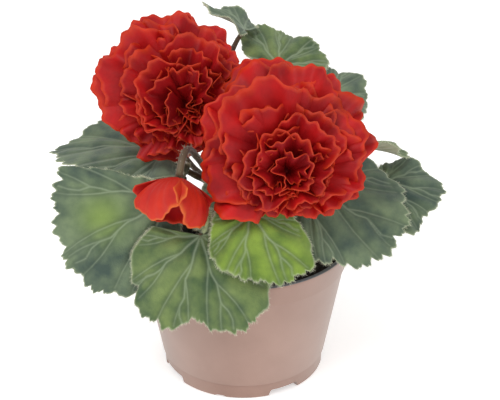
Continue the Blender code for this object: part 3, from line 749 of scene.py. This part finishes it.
# %% Nodding flower
CUP_FAN, FURLED_FAN = (48, 22), (30, 14)
NODDING_STALK = (1.5, 1.9)
NOD = dict(centre=(-31, -54, 138), faces=(-0.15, -0.50, -0.85), reach=(19, 18, 18), turn=20)
nod_axes = frame_of(NOD["faces"], (1, 0, 0))
nod_centre = np.array(NOD["centre"], float)
for i, reach in enumerate(NOD["reach"]):
    sheet, masks = petal_sheet(reach * 1.6, 64, 80, -112, -30, 1.0, 5.0, i * 2.1, 0.8, 0.0, *CUP_FAN)
    points = nod_centre + turned(sheet, NOD["turn"] + 120 * i) @ nod_axes
    petal = make_mesh(f"nodding_flower_outer_{i + 1}", points, fan_faces(*CUP_FAN),
                      [petal_front, petal_back], masks, f"nodding_flower_petal_{i + 1}", "petal")
    thicken(petal, PETAL_THICKNESS)
sheets, edges, roots = [], [], []
for i in range(9):
    sheet, mask = petal_sheet(
        13 + 0.4 * i, 58, 18 + 5 * i, -40, -50, 0.8, 5.0, i * 1.3, 0.5, 0.8, *FURLED_FAN)
    sheets.append(turned(sheet, GOLDEN_TURN * i))
    edges.append(mask["edge"])
    roots.append(mask["root"])
points, faces = join_fans(sheets, *FURLED_FAN)
masks = {"edge": np.concatenate(edges), "root": np.concatenate(roots)}
furled = make_mesh("nodding_flower_inner", nod_centre + points @ nod_axes, faces, [petal_front, petal_back],
                   masks, "nodding_flower_heart", "petal")
thicken(furled, FURLED_THICKNESS)
path = stalk_path("stem_left", 117, nod_centre - nod_axes[2] * 0.8, nod_axes[2], 0.0, 0.45)
tube("nodding_flower_neck", path, NODDING_STALK, stalk_material, "nodding_flower_stalk", "stalk")
print("nodding flower:", len(NOD["reach"]), "outer and", len(sheets), "furled petals")

# %% Young leaf
ROLL_SIDES, ROLL_RINGS, PLEATS = 56, 30, 8
ROLL_RADIUS, ROLL_HAIRS = 6.0, 1100
base = np.array((-17.5, -45.0, 103.5))
top = np.array((-18.0, -53.0, 119.5))
young_axes = frame_of(top - base, (1, 0, 0))
u, v = np.meshgrid(np.arange(ROLL_SIDES), np.linspace(0.02, 0.99, ROLL_RINGS))
pleat = 1 + 0.13 * np.cos(u * math.tau / ROLL_SIDES * PLEATS)
radius = ROLL_RADIUS * np.sin(math.pi * v ** 0.8) ** 0.7 * pleat
turn = u * math.tau / ROLL_SIDES + v * 1.2
length = np.linalg.norm(top - base)
local = np.stack([radius * np.cos(turn), radius * np.sin(turn), v * length], -1).reshape(-1, 3)
points = base + local @ young_axes
make_mesh("young_leaf_roll", points, tube_faces(ROLL_SIDES, ROLL_RINGS), [young_material],
          {"vein": (pleat.ravel() - 0.9) * 3}, "young_leaf", "leaf")
pick = rng.integers(ROLL_SIDES, len(points), ROLL_HAIRS)
out = points[pick] - (base + np.outer(local[pick, 2], young_axes[2]))
out = out / np.linalg.norm(out, axis=1)[:, None]
out = out + rng.uniform(-0.4, 0.4, (ROLL_HAIRS, 3)) + young_axes[2] * 0.4
make_mesh("young_leaf_hair", *hairs(points[pick], out, 2.6, 0.07), [hair_material], slot="leaf")
path = stalk_path("stem_left", 107, base, young_axes[2], 0.4)
tube("stalk_young_body", path, (1.6, 1.3), stalk_material, "stalk_young", "stalk", hair=2.6, density=5.0)
print("young leaf:", PLEATS, "pleats,", ROLL_HAIRS, "hairs")

# %% [markdown]
# ## Pot and soil
# The pot is turned from one profile. Its feet are the parts of the bottom ring that aren't lifted:
# each gap raises the ring by a few millimetres with sloping ends. The outside is brown plastic and the
# lip and inside are dark grey. The soil is a rough disc with loose crumbs of peat on it.

# %% Pot
# Radius and height (mm): first the floor and the inside up to the lip, then the outside down to the base.
INSIDE = [(0.05, 3.6), (43.7, 3.6), (44.7, 4.6), (45.3, 10), (58.2 - 1.6, 75.6), (57.8, 77.1), (57.8, 77.8),
          (58.0, 78), (59.7, 78)]
OUTSIDE = [(60, 77.7), (60, 76.7), (59.0, 76.1), (57.6, 65.2), (56.7, 64.6), (46.9, 9.2), (45.8, 8.5),
           (45.7, 0.6), (45.1, 0.0), (41.5, 0.0), (40.9, 2.2), (15.8, 2.2), (15.0, 0.0), (0.05, 0.0)]
PROFILE = INSIDE + OUTSIDE
# Middle and width (degrees) and height (mm) of each gap under the foot ring, repeated half a turn on.
GAPS = [(30, 24, 3.8), (90, 24, 3.8), (-61, 28, 3.8), (-16, 8, 1.2)]
around = 360
fine = []
for (r0, z0), (r1, z1) in zip(PROFILE, PROFILE[1:]):
    steps = max(1, int(math.hypot(r1 - r0, z1 - z0) / 4))
    fine += [(r0 + (r1 - r0) * k / steps, z0 + (z1 - z0) * k / steps) for k in range(steps)]
fine.append(PROFILE[-1])
turns = np.arange(around) * 360 / around
lift = np.zeros(around)
for middle, width, height in GAPS:
    for half_turn in (0, 180):
        gap = np.abs((turns - (middle + half_turn - 90) + 180) % 360 - 180)
        lift = np.maximum(lift, height * np.clip((width / 2 - gap) / 1.4, 0, 1))
points = []
outside = []
past_lip = False
for r, z in fine:
    past_lip = past_lip or (r >= 59.9)
    for k in range(around):
        a = math.radians(turns[k])
        low = lift[k] if past_lip and r > 40 and z < 4 else 0.0
        points.append((r * math.cos(a), r * math.sin(a), max(z, low)))
    outside.append(past_lip)
faces, kinds = [], []
for i in range(len(fine) - 1):
    for k in range(around):
        m = (k + 1) % around
        faces.append((i * around + k, i * around + m, (i + 1) * around + m, (i + 1) * around + k))
        kinds.append(0 if outside[i] else 1)
faces += [tuple(range(around - 1, -1, -1)), tuple(range((len(fine) - 1) * around, len(fine) * around))]
kinds += [1, 0]
pot = make_mesh("pot_shell", points, faces, [pot_outer, pot_inner], node="pot", slot="pot",
                face_material=kinds)
creases = pot.modifiers.new("creases", "EDGE_SPLIT")
creases.split_angle = math.radians(38)
print("pot points:", len(points))

# %% Soil
SOIL_RADIUS, CRUMBS = 55.0, 900
rings, rays = 60, 200
a, r = np.meshgrid(np.arange(rays) * math.tau / rays, np.linspace(0.01, 1, rings))
x, y = SOIL_RADIUS * r * np.cos(a), SOIL_RADIUS * r * np.sin(a)
rough = 0.0
for wave, size in ((0.16, 0.8), (0.43, 0.5), (0.95, 0.35), (1.7, 0.25)):
    p, q = rng.uniform(0, 6, 2)
    ripple = size * np.sin(x * wave + p + 1.3 * np.sin(y * wave * 0.8))
    rough = rough + ripple * np.cos(y * wave + q + np.sin(x * wave))
z = 68.8 + 1.0 * (1 - r ** 2) + rough * np.clip((1 - r) * 12 + 0.35, 0, 1)
top_points = np.stack([x, y, z], -1).reshape(-1, 3)
skirt = np.stack([44.0 * np.cos(a[0]), 44.0 * np.sin(a[0]), np.full(rays, 5.0)], -1)
points = np.concatenate([top_points, skirt])
faces = tube_faces(rays, rings + 1)
faces[-1] = faces[-1][::-1]
make_mesh("soil_body", points, faces, [soil_material], node="soil", slot="soil")
crumbs, crumb_faces = [], []
for _ in range(CRUMBS):
    turn, reach = rng.uniform(0, math.tau), 52 * math.sqrt(rng.uniform(0, 1))
    height = 69.4 + 1.0 * (1 - (reach / SOIL_RADIUS) ** 2)
    middle = np.array([reach * math.cos(turn), reach * math.sin(turn), height])
    size = rng.uniform(0.5, 1.7)
    n = len(crumbs)
    for way in ((1, 0, 0), (-1, 0, 0), (0, 1, 0), (0, -1, 0), (0, 0, 1), (0, 0, -1)):
        crumbs.append(middle + np.array(way) * size * rng.uniform(0.5, 1.3, 3) + rng.uniform(-0.2, 0.2, 3))
    crumb_faces += [(n + i, n + j, n + k) for i, j, k in ((0, 2, 4), (2, 1, 4), (1, 3, 4), (3, 0, 4),
                                                         (2, 0, 5), (1, 2, 5), (3, 1, 5), (0, 3, 5))]
make_mesh("soil_crumbs", crumbs, crumb_faces, [soil_material], slot="soil")
print("soil:", CRUMBS, "crumbs on a disc of radius", SOIL_RADIUS, "mm")

# %% [markdown]
# ## Floor, light and camera
# A pale floor, a soft key light above the front left and a weaker, wider one from the front right give
# the gentle shading of a studio, and a white sky fills the shadows. The camera is a long lens that looks
# down at the plant from the front.

# %% Stage
floor_mesh = bpy.data.meshes.new("floor")
floor_mesh.from_pydata([(-6, -6, 0), (6, -6, 0), (6, 6, 0), (-6, 6, 0)], [], [(0, 1, 2, 3)])
floor = bpy.data.objects.new("floor", floor_mesh)
floor_paint = material("floor_paint", srgb(244, 244, 244), srgb(248, 248, 248), 2.0, rough=0.9, glow=0.42)
floor_mesh.materials.append(floor_paint)
bpy.context.scene.collection.objects.link(floor)


def area_light(name, place, target, size, power):
    """A square soft light at a place (m), pointed at a target."""
    data = bpy.data.lights.new(name, "AREA")
    data.size = size
    data.energy = power
    lamp = bpy.data.objects.new(name, data)
    bpy.context.scene.collection.objects.link(lamp)
    lamp.location = place
    way = unit(np.subtract(target, place))
    lamp.rotation_euler = (math.acos(-way[2]), 0.0, math.atan2(way[1], way[0]) - math.pi / 2)


area_light("key", (-0.6, -0.7, 1.4), (0, 0, 0.1), 0.7, 12.0)
area_light("fill", (0.9, -0.7, 0.8), (0, 0, 0.1), 1.2, 4.0)
world = bpy.data.worlds.new("studio")
world.use_nodes = True
world.node_tree.nodes["Background"].inputs["Color"].default_value = (1, 1, 1, 1)
world.node_tree.nodes["Background"].inputs["Strength"].default_value = 0.74
scene = bpy.context.scene
scene.world = world
scene.view_settings.view_transform = "Standard"

LOOK_DOWN = 26.23
eye = bpy.data.cameras.new("eye")
eye.lens = 78.9
eye.sensor_width = 36.0
camera = bpy.data.objects.new("eye", eye)
scene.collection.objects.link(camera)
camera.location = (0.00375, -0.5382, 0.3644)
camera.rotation_euler = (math.radians(90 - LOOK_DOWN), 0.0, 0.0)
scene.camera = camera
print("camera:", eye.lens, "mm, looking down", LOOK_DOWN, "degrees")
